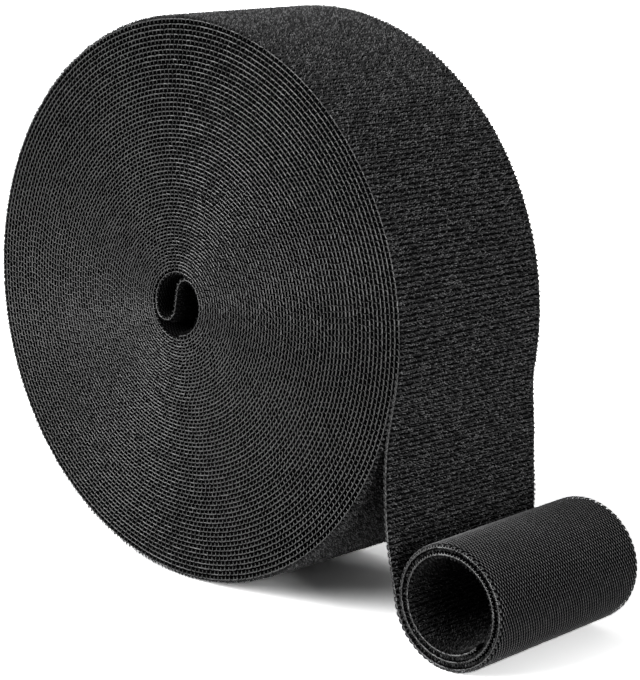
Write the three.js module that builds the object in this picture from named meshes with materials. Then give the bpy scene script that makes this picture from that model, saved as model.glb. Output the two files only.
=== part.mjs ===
// Hook and loop tape roll
//
// One long double sided tape: a hook ply and a loop ply, bonded back to back and cut to one width.
// It is folded into an S in the eye of the coil, winds outwards clockwise with its loop side out,
// leaves the coil at the right as a hanging tail, and curls the other way into a small end roll with
// its hook side out. The coil and the end roll both stand on their rims, pressed flat by their weight.
//
// The tape is worked out in the plane of its edge, x to the right and y up, and given its width by
// extrusion. A station is a place along the tape: a function from a side, the distance from the bond
// between the plies towards the loop face, to a point of that plane.

import * as THREE from 'three';

// Tape, in millimetres
const tapeWidth = 50.8;
const hookPly = 0.25; // woven backing that carries the hooks
const loopPly = 0.4; // knitted backing with its pressed pile
const bondFilm = 0.05; // adhesive between the two backings

// Coil
const coilRadius = 70.6; // loop face of the outermost turn, where the tape leaves
const turnGap = 0.5; // room for the hooks and the pile between two turns
const woundTurns = 18; // outer turns that wind as one strip over the inner ones
const departAngle = -8; // where the tape leaves, degrees from +X towards +Z
const footDepth = 0.5; // how far each roll is pressed flat where it stands
const footShare = 0.8; // share of that depth at the corners of the flat

// Eye and the S that the tape starts with
const eyeRadius = 7.7; // bond of the tape along the eye's wall
const eyeShiftX = -2.7; // the inner turns lie off the centre of the outer ones
const eyeShiftY = -0.65;
const foldShift = -0.8; // the straight middle of the S, to the right of the eye's centre
const foldLean = 8; // how far that middle leans to the right, degrees
const overAngle = 50; // where the S's upper bend touches the eye's wall, degrees
const underAngle = -165; // where its lower bend touches it
const stubSweep = 135; // degrees of the eye's wall that the tape's own end covers

// Tail and end roll
const endRollRadius = 15.6; // bond of the tape where the curl starts
const endRollGap = 1.25; // room between two layers
const endRollTurns = 2.36;
const endRollDrift = 0.35; // each layer lies this much further to the right
const endRollStandOff = 1.15; // from the side of the coil to the side of the end roll
const curlAngle = 190; // where the tail runs into the end roll, degrees
const tailReach = 1 / 3; // how far the tail keeps each tangent, as a share of its span
const tailBend = 0.56; // share of the tail above the line where it bends when the end roll is lifted

// Making
const cutGap = 0.3; // clearance where one stretch of the tape ends and the next begins
const stepsPerTurn = 24;
const bendSteps = 8; // steps round each bend of the S
const tailSteps = 10;
const pointsPerStep = 4; // points on each step when gaps are measured
const fullTurn = 360;
const halfTurn = fullTurn / 2;
const quarterTurn = fullTurn / 4;

// Faces of the plies, as sides of the bond
const hookFace = -(bondFilm / 2 + hookPly);
const hookBack = -bondFilm / 2;
const loopBack = bondFilm / 2;
const loopFace = bondFilm / 2 + loopPly;
const tapeThickness = loopFace - hookFace;
const turnPitch = tapeThickness + turnGap;
const endRollPitch = tapeThickness + endRollGap;

const radians = THREE.MathUtils.degToRad;

function polar(centre, radius, degrees) {
  const angle = radians(degrees);
  return new THREE.Vector2(centre.x + radius * Math.cos(angle), centre.y + radius * Math.sin(angle));
}

// A winding that runs inwards and anticlockwise from its outer end and stands on the floor, y = 0.
// Turns are counted from the outer end. Every turn is pressed flat at its foot by the same depth.
class StandingSpiral {
  constructor({ centreX, startRadius, startAngle, pitch, driftX, driftY, loopSign }) {
    Object.assign(this, { centreX, startRadius, startAngle, pitch, driftX, driftY, loopSign });
    this.footTurn = (fullTurn - quarterTurn - startAngle) / fullTurn; // the outermost turn's lowest place
    const outerFace = this.radius(this.footTurn) + Math.max(loopSign * loopFace, loopSign * hookFace);
    this.centreY = outerFace - footDepth - driftY * this.footTurn;
    this.footHalf = Math.acos(1 - (footShare * footDepth) / outerFace) / (2 * Math.PI); // in turns
  }

  radius(turn) {
    return this.startRadius - this.pitch * turn;
  }

  centre(turn) {
    return new THREE.Vector2(this.centreX + this.driftX * turn, this.centreY + this.driftY * turn);
  }

  point(turn, side) {
    const offset = this.loopSign * side;
    const place = polar(this.centre(turn), this.radius(turn) + offset, this.startAngle + fullTurn * turn);
    const foot = this.footTurn + Math.round(turn - this.footTurn);
    const level = this.centre(foot).y - this.radius(foot) - offset + footDepth;
    place.y = Math.max(place.y, level);
    return place;
  }

  // Stations at the two ends of every foot and at even steps round the rest of each turn
  stations(firstTurn, lastTurn) {
    const step = (1 - 2 * this.footHalf) / (stepsPerTurn - 1);
    const turns = [firstTurn];
    for (let foot = this.footTurn + Math.floor(firstTurn) - 1; foot < lastTurn; foot += 1) {
      for (let i = 0; i < stepsPerTurn; i += 1) {
        const turn = foot + this.footHalf + i * step;
        if (turn > firstTurn + step / 4 && turn < lastTurn - step / 4) turns.push(turn);
      }
    }
    turns.push(lastTurn);
    return turns.map((turn) => (side) => this.point(turn, side));
  }
}

// Stations round an arc whose radius may grow. The loop side lies on the left of the tape's run.
function arcStations(centre, startRadius, endRadius, startAngle, endAngle, steps) {
  const outward = Math.sign(startAngle - endAngle);
  return Array.from({ length: steps + 1 }, (_, i) => {
    const radius = THREE.MathUtils.lerp(startRadius, endRadius, i / steps);
    const angle = THREE.MathUtils.lerp(startAngle, endAngle, i / steps);
    return (side) => polar(centre, radius + outward * side, angle);
  });
}

// Stations along a curve between two shares of its length
function curveStations(curve, from, to, steps) {
  return Array.from({ length: steps + 1 }, (_, i) => {
    const share = THREE.MathUtils.lerp(from, to, i / steps);
    const place = curve.getPointAt(share);
    const run = curve.getTangentAt(share);
    return (side) => new THREE.Vector2(place.x - run.y * side, place.y + run.x * side);
  });
}

// The coil's turns drift towards the eye as they go in
const outerBond = coilRadius - loopFace;
const turnsToEye = (outerBond - eyeRadius) / turnPitch;
const coil = new StandingSpiral({
  centreX: 0,
  startRadius: outerBond,
  startAngle: departAngle,
  pitch: turnPitch,
  driftX: eyeShiftX / turnsToEye,
  driftY: eyeShiftY / turnsToEye,
  loopSign: 1,
});
const coilStations = coil.stations(0, woundTurns);

const endRoll = new StandingSpiral({
  centreX: coilRadius + endRollStandOff + endRollRadius,
  startRadius: endRollRadius,
  startAngle: curlAngle,
  pitch: endRollPitch,
  driftX: endRollDrift,
  driftY: 0,
  loopSign: -1,
});

// The tail leaves the coil along its tangent and meets the end roll along its tangent
function tailCurve() {
  const start = coil.point(0, 0);
  const end = endRoll.point(0, 0);
  const reach = start.distanceTo(end) * tailReach;
  const leaving = polar(start, reach, departAngle - quarterTurn);
  const meeting = polar(end, reach, curlAngle - quarterTurn);
  return new THREE.CubicBezierCurve(start, leaving, meeting, end);
}

const tail = tailCurve();
const gapShare = cutGap / tail.getLength();
const tailStations = curveStations(tail, gapShare, tailBend, Math.round(tailSteps * tailBend));
const lowerTail = curveStations(tail, tailBend + gapShare, 1, Math.round(tailSteps * (1 - tailBend)));
const endRollStations = [...lowerTail, ...endRoll.stations(0, endRollTurns).slice(1)];

// The S: the tape's own end lies along the eye's wall, turns back through the eye and out the other way
const eye = coil.centre(turnsToEye);
const wallEnd = overAngle - fullTurn;
const wallSteps = (sweep) => Math.round((stepsPerTurn * sweep) / fullTurn);
const outwardSteps = wallSteps(underAngle - wallEnd); // where the tape leaves the S along the wall

// A bend that touches the eye's wall from inside, and the straight middle of the S with its side:
// side 1 for the upper bend, to the right of that middle, and -1 for the lower one, to its left
function bendStations(wallAngle, side, startAngle, endAngle) {
  const share = Math.abs(Math.cos(radians(wallAngle + foldLean)));
  const radius = (eyeRadius * share - side * foldShift) / (1 + share);
  const centre = polar(eye, eyeRadius - radius, wallAngle);
  return arcStations(centre, radius, radius, startAngle, endAngle, bendSteps);
}

function startFoldStations() {
  const endGap = THREE.MathUtils.radToDeg(cutGap / (eyeRadius + turnPitch));
  const stubStart = overAngle - stubSweep;
  const stub = arcStations(eye, eyeRadius, eyeRadius, stubStart, overAngle, wallSteps(stubSweep));
  const over = bendStations(overAngle, 1, overAngle, halfTurn - foldLean);
  const under = bendStations(underAngle, -1, -foldLean, underAngle);
  const wall = arcStations(
    eye, eyeRadius, eyeRadius + turnPitch, underAngle, wallEnd + endGap, outwardSteps,
  );
  return [...stub, ...over.slice(1), ...under, ...wall.slice(1)];
}

// The inner turns as one ring. Outside it ends in the step where its tape runs on into the wound turns,
// and the bore has the same kind of step where the tape of the S runs into it.
function innerTurnsShape() {
  const wall = eyeRadius + loopFace + cutGap;
  const bore = [
    ...arcStations(eye, wall, wall, overAngle, underAngle, wallSteps(overAngle - underAngle)),
    ...arcStations(eye, wall, wall + turnPitch, underAngle, wallEnd, outwardSteps).slice(1),
  ];
  const start = woundTurns + cutGap / (2 * Math.PI * coil.radius(woundTurns));
  const outside = coil.stations(start, start + 1);
  const shape = new THREE.Shape(outside.map((at) => at(loopFace)));
  shape.holes.push(new THREE.Path(bore.map((at) => at(0))));
  return shape;
}

// The outline of one ply along a stretch of the tape
function plyShape(stations, backSide, faceSide) {
  const back = stations.map((at) => at(backSide));
  const face = stations.map((at) => at(faceSide));
  return new THREE.Shape([...back, ...face.reverse()]);
}

// The least distance from one turn's loop face to the next turn's hook face, on points of both
function leastGap(stations) {
  const spread = (side) => stations.slice(1).flatMap((at, i) => Array.from(
    { length: pointsPerStep }, (_, k) => stations[i](side).lerp(at(side), k / pointsPerStep),
  ));
  const loopPoints = spread(loopFace);
  const hookPoints = spread(hookFace);
  const apart = (pointsPerStep * stepsPerTurn) / 2; // half a turn along the tape
  let least = Infinity;
  loopPoints.forEach((a, i) => hookPoints.forEach((b, j) => {
    if (Math.abs(i - j) > apart) least = Math.min(least, a.distanceTo(b));
  }));
  return least;
}

const hookFinish = { color: 0x1c1d1e, roughness: 0.75, metalness: 0 };
const loopFinish = { color: 0x2a2b2d, roughness: 0.95, metalness: 0 };
const edgeFinish = { color: 0x232426, roughness: 0.85, metalness: 0 };

function piece(name, shape, finish) {
  const geometry = new THREE.ExtrudeGeometry(shape, { depth: tapeWidth, bevelEnabled: false });
  const mesh = new THREE.Mesh(geometry, new THREE.MeshStandardMaterial(finish));
  mesh.name = name;
  return mesh;
}

function bothPlies(stretch, stations) {
  return [
    piece(`${stretch}_hook_ply`, plyShape(stations, hookBack, hookFace), hookFinish),
    piece(`${stretch}_loop_ply`, plyShape(stations, loopBack, loopFace), loopFinish),
  ];
}

// The edge plane stands upright, with the tape's width along Y and the coil's foot centred below its axis
const roll = new THREE.Group();
roll.rotation.x = Math.PI / 2;
roll.position.y = tapeWidth / 2;
roll.add(
  ...bothPlies('start_fold', startFoldStations()),
  piece('inner_turns', innerTurnsShape(), edgeFinish),
  ...bothPlies('coil', coilStations),
  ...bothPlies('tail', tailStations),
  ...bothPlies('end_roll', endRollStations),
);

console.log(`least gap between the coil's turns ${leastGap(coilStations).toFixed(3)} mm`);
console.log(`least gap between the end roll's layers ${leastGap(endRollStations).toFixed(3)} mm`);

const part = new THREE.Group();
part.add(roll);

export default part;
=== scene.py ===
"""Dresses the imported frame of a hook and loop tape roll.

The object is one strip of double sided tape. Its middle line lies in the plane of its edge, x to the right
and z up, and runs from the S fold in the eye of the coil, out through the turns, down the loose tail and into
the curled end. A height is a distance from that line towards the loop side, so hooks have negative heights.
Sizes are in millimetres and degrees until a mesh is written, in metres.
"""

import logging
import math
from dataclasses import dataclass, field
from enum import Enum

import bpy
import numpy as np
from mathutils import Matrix, Vector


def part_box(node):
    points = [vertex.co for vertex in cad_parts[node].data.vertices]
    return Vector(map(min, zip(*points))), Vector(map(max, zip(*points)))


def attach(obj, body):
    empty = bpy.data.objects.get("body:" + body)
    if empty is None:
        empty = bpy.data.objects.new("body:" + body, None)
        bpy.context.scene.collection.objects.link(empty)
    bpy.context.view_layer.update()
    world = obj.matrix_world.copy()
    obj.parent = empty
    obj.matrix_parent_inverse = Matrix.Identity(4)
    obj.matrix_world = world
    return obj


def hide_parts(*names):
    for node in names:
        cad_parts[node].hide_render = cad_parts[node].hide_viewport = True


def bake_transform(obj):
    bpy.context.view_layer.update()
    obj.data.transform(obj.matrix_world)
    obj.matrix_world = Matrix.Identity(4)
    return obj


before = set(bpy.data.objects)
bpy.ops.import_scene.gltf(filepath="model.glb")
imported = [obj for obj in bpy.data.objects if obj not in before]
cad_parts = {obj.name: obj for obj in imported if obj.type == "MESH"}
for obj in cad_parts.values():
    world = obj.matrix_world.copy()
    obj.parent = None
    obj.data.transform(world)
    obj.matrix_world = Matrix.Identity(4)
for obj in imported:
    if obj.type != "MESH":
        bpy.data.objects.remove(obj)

LOG = logging.getLogger("tape_roll")
Array = np.ndarray
Pair = tuple[float, float]
Triple = tuple[float, float, float]
Piece = bpy.types.Object
Socket = bpy.types.NodeSocket

MM = 0.001
FULL_TURN = 360.0
HALF_TURN = 180.0
QUARTER_TURN = 90.0
SEED = 41
ACROSS = np.array([0.0, 1.0, 0.0])
TONE = "tone"
TAPE_UV = "tape"
VECTOR = "NodeSocketVector"
NUMBER = "NodeSocketFloat"
TINY = 1e-9
# Length of tape, from where it leaves the coil, that the tail's upper pieces cover.
UPPER_TAIL = 16.0


class Body(Enum):
    """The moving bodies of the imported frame."""

    COIL = "coil"
    TAIL = "tail"
    END_ROLL = "end_roll"


class Slot(Enum):
    """The record's material slots."""

    HOOKS = "hook_side"
    LOOPS = "loop_side"
    EDGES = "tape_edge"


class Edge(Enum):
    """The two edges of the tape; the value is the sign of y."""

    FRONT = -1
    BACK = 1


@dataclass(frozen=True)
class Tape:
    """Thicknesses of the tape.

    Attributes:
        width: from edge to edge.
        backing: both woven backings together.
        selvage: how far in from the edge the backing is rounded.
        pile_foot: matted foot of the loop pile, above the backing.
        pile_rise: how far the strands of the pile arch above that foot.
        hook_height: from the backing to the top of a hook.
        pile_share: share of the room between two turns that the pressed pile fills.
    """

    width: float
    backing: float = 0.34
    selvage: float = 0.2
    pile_foot: float = 0.25
    pile_rise: float = 0.7
    hook_height: float = 0.7
    pile_share: float = 0.6

    @property
    def half_width(self) -> float:
        """Half the width, which is the y of the back edge."""
        return self.width / 2

    @property
    def face(self) -> float:
        """Height of the backing's loop face."""
        return self.backing / 2

    @property
    def pile_top(self) -> float:
        """Height of the top of the standing pile."""
        return self.face + self.pile_foot + self.pile_rise


@dataclass
class TapeLine:
    """The middle line of the backing, as arrays over its small steps.

    Attributes:
        x: places to the right.
        z: places above the floor.
        room: space on the hook side up to the next layer of tape.
        fill: thickness of the pile's matted foot.
        lean: x gained for each millimetre towards the back edge.
        tilt: z gained for each millimetre from the front edge.
        front: place of the front edge.
        flattest: radius of bend that straight stretches count as.
    """

    x: Array
    z: Array
    room: Array
    fill: Array
    lean: Array
    tilt: Array
    front: float
    flattest: float = 70.0
    length: Array = field(init=False)
    normal_x: Array = field(init=False)
    normal_z: Array = field(init=False)
    bend: Array = field(init=False)

    def __post_init__(self) -> None:
        """Works out the length along the line, the normals to its left and the radius of its bends."""
        steps = np.hypot(np.diff(self.x), np.diff(self.z))
        self.length = np.concatenate([[0.0], np.cumsum(steps)])
        run_x = np.gradient(self.x, self.length)
        run_z = np.gradient(self.z, self.length)
        size = np.hypot(run_x, run_z)
        self.normal_x = -run_z / size
        self.normal_z = run_x / size
        turning = np.gradient(np.unwrap(np.arctan2(run_z, run_x)), self.length)
        self.bend = 1 / np.maximum(np.abs(turning), 1 / self.flattest)

    def read(self, values: Array, along: Array) -> Array:
        """One of the line's arrays at the given lengths along it."""
        return np.interp(along, self.length, values)

    def normal(self, along: Array) -> Array:
        """Unit vectors towards the loop side at the given lengths, with a last axis of three."""
        parts = [self.read(self.normal_x, along), np.zeros_like(along), self.read(self.normal_z, along)]
        return np.stack(parts, axis=-1)

    def place(self, along: Array, across: Array, height: Array) -> Array:
        """Points on or off the tape.

        A point is the line's own point, plus the height along the normal, plus the lean times the place
        across and the tilt times the way from the front edge, and it is pressed up to the floor where it
        would lie lower.

        Args:
            along: lengths along the line.
            across: places from edge to edge, which become y.
            height: distances towards the loop side.

        Returns:
            Points with a last axis of three.
        """
        along, across, height = np.broadcast_arrays(along, across, height)
        x = self.read(self.x, along) + height * self.read(self.normal_x, along)
        x = x + across * self.read(self.lean, along)
        z = self.read(self.z, along) + height * self.read(self.normal_z, along)
        z = z + (across - self.front) * self.read(self.tilt, along)
        return np.stack([x, across, np.maximum(z, 0.0)], axis=-1)

    def stations(self, start: float, stop: float, sagitta: float) -> Array:
        """Lengths along the line whose chords stay within a sagitta of it.

        A chord of length c on a bend of radius r has the sagitta c * c / (8 r), so the steps are as long as
        that allows, and are spread evenly between the two ends.

        Args:
            start: length along the line of the first station.
            stop: length along the line of the last station.
            sagitta: most that a chord may depart from the line.

        Returns:
            The stations' lengths.
        """
        chord = np.sqrt(8 * sagitta * self.bend)
        count = np.concatenate([[0.0], np.cumsum(np.diff(self.length) / chord[1:])])
        first, last = np.interp([start, stop], self.length, count)
        even = np.linspace(first, last, max(3, math.ceil(last - first) + 1))
        return np.interp(even, count, self.length)


def polar(centre: Array, radius: Array, degrees: Array) -> Array:
    """Points of the edge plane at a radius and an angle about a centre, with a last axis of two."""
    angle = np.radians(degrees)
    return centre + np.stack([radius * np.cos(angle), radius * np.sin(angle)], axis=-1)


def smooth(way: Array) -> Array:
    """A way from 0 to 1 eased at both ends: three times its square less twice its cube."""
    way = np.clip(way, 0.0, 1.0)
    return way**2 * (3 - 2 * way)


@dataclass(frozen=True)
class Winding:
    """Driving sizes of the tape's line.

    Attributes:
        coil_turns: whole turns from the eye to the place where the tape leaves the coil.
        rim_radius: of the backing where the tape leaves.
        pitch_fade: share of the pitch that is lost with each turn inwards.
        depart_angle: where the tape leaves, anticlockwise from +x.
        eye_radius: of the backing along the wall of the eye.
        eye_shift: how far the eye lies off the centre of the rim, in x and z.
        fold_x: place of the S fold's straight middle, to the right of the eye's centre.
        fold_lean: how far that middle leans to the right.
        over_angle: where the upper bend of the S touches the eye's wall.
        under_angle: where its lower bend touches the wall.
        stub_sweep: degrees of the eye's wall that the tape's own end covers.
        roll_x: x of the end roll's middle.
        roll_radius: of the backing where the curl starts.
        roll_pitch: from layer to layer of the end roll.
        roll_turns: turns of the end roll.
        roll_squash: height of the end roll as a share of its width.
        hook_squeeze: share of the hooks' height that is left under the end roll.
        curl_angle: where the tail runs into the end roll.
        tail_reach: how far the tail keeps each tangent, as a share of its span.
        tail_lean: how far the edges of the tail lean apart at its middle, front to the left.
        roll_lift: how much higher the back edge of the end roll lies than its front edge.
        lean_ease: share of the tail, from each end, over which that lean comes in.
        step: between the points of the line.
    """

    coil_turns: int = 61
    rim_radius: float = 69.5
    pitch_fade: float = 0.0075
    depart_angle: float = -8.0
    eye_radius: float = 7.7
    eye_shift: Pair = (-2.7, -0.65)
    fold_x: float = -0.8
    fold_lean: float = 8.0
    over_angle: float = 50.0
    under_angle: float = 195.0
    stub_sweep: float = 135.0
    roll_x: float = 87.3
    roll_radius: float = 15.7
    roll_pitch: float = 1.75
    roll_turns: float = 2.36
    roll_squash: float = 0.95
    hook_squeeze: float = 0.8
    curl_angle: float = 190.0
    tail_reach: float = 0.26
    tail_lean: float = 1.4
    roll_lift: float = 1.2
    lean_ease: float = 0.4
    step: float = 0.25

    def bend_radius(self, angle: float, side: int) -> float:
        """Radius of a bend that touches the eye's wall from inside and the straight middle of the S.

        Args:
            angle: where the bend touches the wall.
            side: 1 for the bend to the right of the middle, and -1 for the one to its left.

        Returns:
            The radius of the backing in the bend.
        """
        share = abs(math.cos(math.radians(angle + self.fold_lean)))
        return (self.eye_radius * share - side * self.fold_x) / (1 + share)

    @property
    def turns(self) -> float:
        """Turns from the departure to the S fold, counted inwards."""
        return self.coil_turns + (self.over_angle - self.depart_angle) / FULL_TURN

    @property
    def rim_pitch(self) -> float:
        """Distance from turn to turn at the rim; the last turn ends one pitch off the eye's wall."""
        left = math.exp(-self.pitch_fade * self.turns)
        return (self.rim_radius - self.eye_radius) / ((1 - left) / self.pitch_fade + left)

    def pitch(self, turn: Array) -> Array:
        """Distance from turn to turn, which fades evenly with the turns counted inwards."""
        return self.rim_pitch * np.exp(-self.pitch_fade * turn)

    def radius(self, turn: Array) -> Array:
        """Radius of the backing: the rim's, less all the pitches on the way in."""
        return self.rim_radius - (self.rim_pitch - self.pitch(turn)) / self.pitch_fade

    def coil_centre(self, turn: Array, tape: Tape) -> Array:
        """Centre of a turn, which drifts from the rim's centre to the eye's as the radius falls.

        The rim's centre is as high as lets the pile of the outermost turn stand on the floor.

        Args:
            turn: turns counted inwards.
            tape: thicknesses of the tape.

        Returns:
            Centres with a last axis of two.
        """
        foot = (FULL_TURN - QUARTER_TURN - self.depart_angle) / FULL_TURN
        middle = np.array([0.0, self.radius(foot) + tape.pile_top])
        share = (self.rim_radius - self.radius(turn)) / (self.rim_radius - self.radius(self.turns))
        return middle + np.asarray(share)[..., None] * np.array(self.eye_shift)

    def along_arc(self, centre: Array, radii: Pair, angles: Pair) -> Array:
        """Points round an arc whose radius changes evenly with its angle.

        Args:
            centre: of the arc.
            radii: at its two ends.
            angles: of its two ends, in degrees.

        Returns:
            Points, about one step apart.
        """
        arc_length = math.radians(abs(angles[1] - angles[0])) * max(radii)
        share = np.linspace(0.0, 1.0, max(3, round(arc_length / self.step)))
        radius = radii[0] + share * (radii[1] - radii[0])
        return polar(centre, radius, angles[0] + share * (angles[1] - angles[0]))

    def fold_points(self, tape: Tape) -> Array:
        """The S: along the eye's wall, back through the eye in two bends, and half way round outside.

        Args:
            tape: thicknesses of the tape.

        Returns:
            Points, about one step apart.
        """
        eye = self.coil_centre(self.turns, tape)
        wall, over_angle = self.eye_radius, self.over_angle
        under_angle = self.under_angle - FULL_TURN
        over_radius = self.bend_radius(over_angle, 1)
        under_radius = self.bend_radius(under_angle, -1)
        over_centre = polar(eye, wall - over_radius, over_angle)
        under_centre = polar(eye, wall - under_radius, under_angle)
        stub = self.along_arc(eye, (wall, wall), (over_angle - self.stub_sweep, over_angle))
        over_end = HALF_TURN - self.fold_lean
        over = self.along_arc(over_centre, (over_radius, over_radius), (over_angle, over_end))
        under = self.along_arc(under_centre, (under_radius, under_radius), (-self.fold_lean, under_angle))
        outer = wall + float(self.pitch(self.turns))
        arm = self.along_arc(eye, (wall, outer), (under_angle, over_angle - FULL_TURN))
        straight = float(np.linalg.norm(over[-1] - under[0]))
        middle = np.linspace(over[-1], under[0], round(straight / self.step))
        return np.concatenate([stub[:-1], over[:-1], middle[:-1], under[:-1], arm])

    def roll_points(self, tape: Tape) -> Array:
        """The end roll: an even spiral inwards, anticlockwise, pressed a little lower than it is wide.

        Args:
            tape: thicknesses of the tape.

        Returns:
            Points, one for each degree.
        """
        count = round(FULL_TURN * self.roll_turns)
        turn = np.linspace(0.0, self.roll_turns, count)
        foot = (FULL_TURN - QUARTER_TURN - self.curl_angle) / FULL_TURN
        under = tape.face + self.hook_squeeze * tape.hook_height
        height = self.roll_squash * (self.roll_radius - self.roll_pitch * foot) + under
        angle = self.curl_angle + FULL_TURN * turn
        flat = polar(np.zeros(2), self.roll_radius - self.roll_pitch * turn, angle)
        return flat * np.array([1.0, self.roll_squash]) + np.array([self.roll_x, height])

    def tail_points(self, start: Array, leaving: Array, end: Array, meeting: Array) -> Array:
        """The tail: a cubic curve that keeps the tangents at both its ends.

        Args:
            start: where the tape leaves the coil.
            leaving: unit run of the tape there.
            end: where the curl starts.
            meeting: unit run of the tape there.

        Returns:
            Points, about one step apart.
        """
        reach = self.tail_reach * np.linalg.norm(end - start)
        share = np.linspace(0.0, 1.0, round(np.linalg.norm(end - start) / self.step))[:, None]
        rest = 1 - share
        held = 3 * rest**2 * share * (start + reach * leaving) + 3 * rest * share**2 * (end - reach * meeting)
        return rest**3 * start + held + share**3 * end


@dataclass
class TapeRun:
    """The whole tape: its line, its thicknesses and the lengths at which its stretches begin.

    Attributes:
        tape: thicknesses of the tape.
        line: middle line of the backing.
        turns_start: where the S fold ends and the turns begin.
        rim_start: one turn before the tape leaves the coil.
        depart: where the tape leaves the coil.
        curl: where the tail runs into the end roll.
        end: the free end inside the end roll.
    """

    tape: Tape
    line: TapeLine
    turns_start: float
    rim_start: float
    depart: float
    curl: float
    end: float


def wind(winding: Winding, tape: Tape) -> TapeRun:
    """Joins the fold, the turns, the tail and the end roll into one line.

    Args:
        winding: driving sizes.
        tape: thicknesses of the tape.

    Returns:
        The whole tape.
    """
    fold = winding.fold_points(tape)
    mean_turn = 2 * math.pi * (winding.rim_radius + winding.eye_radius) / 2
    turn = np.linspace(winding.turns, 0.0, round(winding.turns * mean_turn / winding.step))
    angle = winding.depart_angle + FULL_TURN * turn
    turns = polar(winding.coil_centre(turn, tape), winding.radius(turn), angle)
    roll = winding.roll_points(tape)
    leaving = (turns[-1] - turns[-2]) / np.linalg.norm(turns[-1] - turns[-2])
    meeting = (roll[1] - roll[0]) / np.linalg.norm(roll[1] - roll[0])
    tail = winding.tail_points(turns[-1], leaving, roll[0], meeting)
    parts = [fold[:-1], turns[:-1], tail[:-1], roll]
    points = np.concatenate(parts)
    counts = np.cumsum([len(part) for part in parts])
    room = np.concatenate([
        np.full(len(parts[0]), winding.pitch(winding.turns)),
        winding.pitch(turn[:-1]),
        np.full(len(parts[2]) + len(roll), winding.roll_pitch),
    ]) - tape.backing
    covered = np.concatenate([np.zeros(len(parts[0])), turn[:-1], np.zeros(len(parts[2]) + len(roll))]) > 1
    fill = np.where(covered, tape.pile_share * room, tape.pile_foot)
    lean, tilt = np.zeros((2, len(points)))
    way = np.linspace(0.0, 1.0, len(parts[2]))
    eased = smooth(np.minimum(way, 1 - way) / winding.lean_ease)
    lean[counts[1]:counts[2]] = winding.tail_lean / tape.half_width * eased
    tilt[counts[1]:counts[2]] = winding.roll_lift / tape.width * smooth(way)
    tilt[counts[2]:] = winding.roll_lift / tape.width
    line = TapeLine(points[:, 0], points[:, 1], room, fill, lean, tilt, -tape.half_width)
    rim_index = counts[0] + int(np.argmax(turn <= 1.0))
    bounds = [line.length[i] for i in (counts[0], rim_index, counts[1], counts[2])]
    return TapeRun(tape, line, *bounds, line.length[-1])


@dataclass
class Surface:
    """A closed mesh in millimetres.

    Attributes:
        points: corners.
        quads: faces with four corners.
        caps: faces that close the ends, all with the same number of corners.
        tone: from 0, dark, to 1, light, at each corner.
        uv: length along the tape and place across it at each corner, or None.
    """

    points: Array
    quads: Array
    caps: Array
    tone: Array
    uv: Array | None = None

    def write(self, name: str) -> Piece:
        """Puts the mesh into a new object at the origin, in metres.

        Args:
            name: of the object and its mesh.

        Returns:
            The object.
        """
        mesh = bpy.data.meshes.new(name)
        corners = np.concatenate([self.quads.ravel(), self.caps.ravel()])
        sizes = np.repeat([4, self.caps.shape[1]], [len(self.quads), len(self.caps)])
        mesh.vertices.add(len(self.points))
        mesh.vertices.foreach_set("co", (self.points * MM).ravel())
        mesh.loops.add(len(corners))
        mesh.loops.foreach_set("vertex_index", corners)
        mesh.polygons.add(len(sizes))
        mesh.polygons.foreach_set("loop_start", np.concatenate([[0], np.cumsum(sizes)[:-1]]))
        rounded = np.repeat([True, False], [len(self.quads), len(self.caps)])
        mesh.polygons.foreach_set("use_smooth", rounded)
        mesh.attributes.new(TONE, "FLOAT", "POINT").data.foreach_set("value", self.tone)
        if self.uv is not None:
            mesh.uv_layers.new(name=TAPE_UV).data.foreach_set("uv", self.uv[corners].ravel())
        mesh.update(calc_edges=True)
        self.crease_caps(mesh)
        piece = bpy.data.objects.new(name, mesh)
        bpy.context.scene.collection.objects.link(piece)
        return piece

    def crease_caps(self, mesh: bpy.types.Mesh) -> None:
        """Marks the edges round the caps as sharp, so that the sides are evenly shaded up to their ends.

        Args:
            mesh: that holds this surface.
        """
        edges = np.zeros(len(mesh.loops), dtype=np.int32)
        mesh.loops.foreach_get("edge_index", edges)
        sharp = np.zeros(len(mesh.edges), dtype=bool)
        sharp[edges[self.quads.size:]] = True
        mesh.attributes.new("sharp_edge", "BOOLEAN", "EDGE").data.foreach_set("value", sharp)


def tube_faces(strands: int, rings: int, sides: int) -> tuple[Array, Array]:
    """Faces of closed tubes whose corners are numbered by strand, then ring, then side.

    Args:
        strands: how many tubes.
        rings: rings of corners along each.
        sides: corners round each ring, anticlockwise as seen against the run.

    Returns:
        The faces round the tubes and the faces that close their ends.
    """
    index = np.arange(strands * rings * sides).reshape(strands, rings, sides)
    after = np.roll(index, -1, axis=2)
    low, high = index[:, :-1], index[:, 1:]
    quads = np.stack([low, after[:, :-1], after[:, 1:], high], axis=-1).reshape(-1, 4)
    caps = np.concatenate([index[:, 0, ::-1], index[:, -1]])
    return quads, caps


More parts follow.
